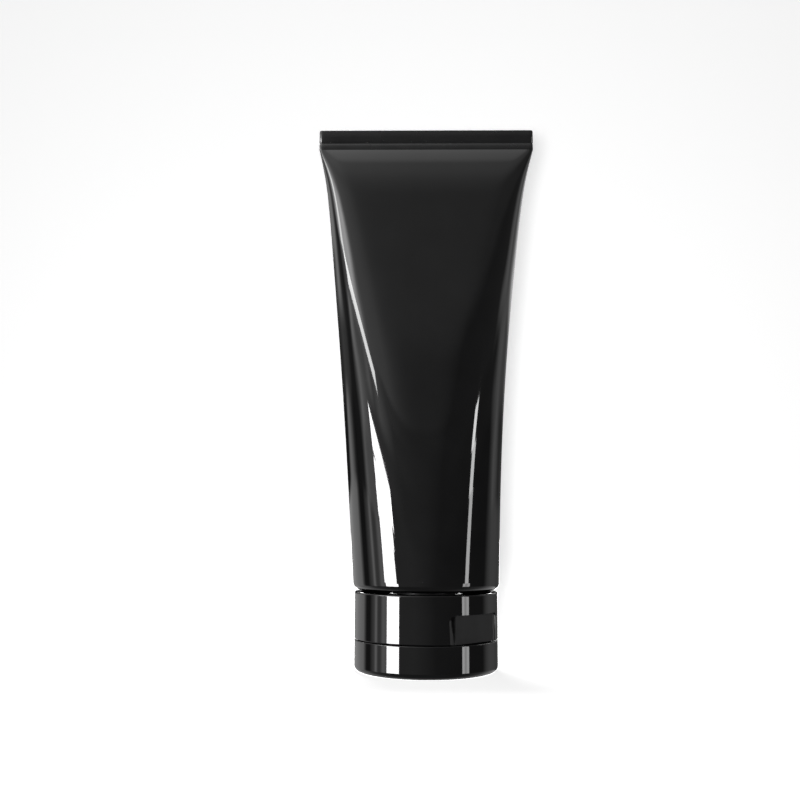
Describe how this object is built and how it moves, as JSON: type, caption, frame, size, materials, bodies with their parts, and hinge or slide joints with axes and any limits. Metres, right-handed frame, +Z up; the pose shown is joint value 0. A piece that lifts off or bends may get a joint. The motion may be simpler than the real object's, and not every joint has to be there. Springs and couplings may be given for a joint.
{
  "type": "squeeze tube",
  "caption": "Shaving cream squeeze tube with a crimped flat tail, a screw-on cap, and a flip-top lid on a moulded strap hinge.",
  "frame": {"origin": "centre of the closed lid's flat outer face, which is the lowest point and the centre of the box seen from above", "axes": "+Z runs up the tube from the lid to the crimped tail, X runs along the crimp, and the thumb recess faces +X -Y with the hinge opposite it at -X +Y"},
  "size_m": [0.078, 0.05, 0.1917],
  "materials": {
    "cap_gloss": "polished black polypropylene",
    "strap_satin": "black polypropylene, slightly satin where it flexes",
    "foil": "thin bright foil",
    "shoulder_satin": "satin black polyethylene",
    "sleeve_gloss": "glossy lacquered black film",
    "cream": "soft white cream"
  },
  "bodies": {
    "cap_base": {"cap_base": "cap_gloss"},
    "hinge_strap": {"hinge_strap_centre": "strap_satin", "hinge_strap_left": "strap_satin", "hinge_strap_right": "strap_satin"},
    "cap_lid": {"cap_lid": "cap_gloss"},
    "neck_seal": {"neck_seal": "foil"},
    "tube": {"tube_shoulder": "shoulder_satin", "tube_sleeve": "sleeve_gloss", "cream_fill": "cream"}
  },
  "joints": [
    {"name": "strap_swing", "type": "hinge", "parent": "cap_base", "child": "hinge_strap", "pos_m": [-0.01612, 0.01612, 0.01345], "axis": [0.7071, 0.7071, 0], "range_deg": [0, 90]},
    {"name": "lid_swing", "type": "hinge", "parent": "hinge_strap", "child": "cap_lid", "pos_m": [-0.01612, 0.01612, 0.00795], "axis": [0.7071, 0.7071, 0], "range_deg": [0, 90]},
    {"name": "tube_lift", "type": "slide", "parent": "cap_base", "child": "neck_seal", "axis": [0, 0, 1], "range_m": [0, 0.0053]},
    {"name": "tube_turn", "type": "hinge", "parent": "neck_seal", "child": "tube", "pos_m": [0, 0, 0.02], "axis": [0, 0, 1], "range_deg": [0, 630]}
  ],
  "couplings": [
    {"joint": "lid_swing", "follows": "strap_swing", "ratio": 1},
    {"joint": "tube_lift", "follows": "tube_turn", "m_per_rad": 0.00047746}
  ]
}
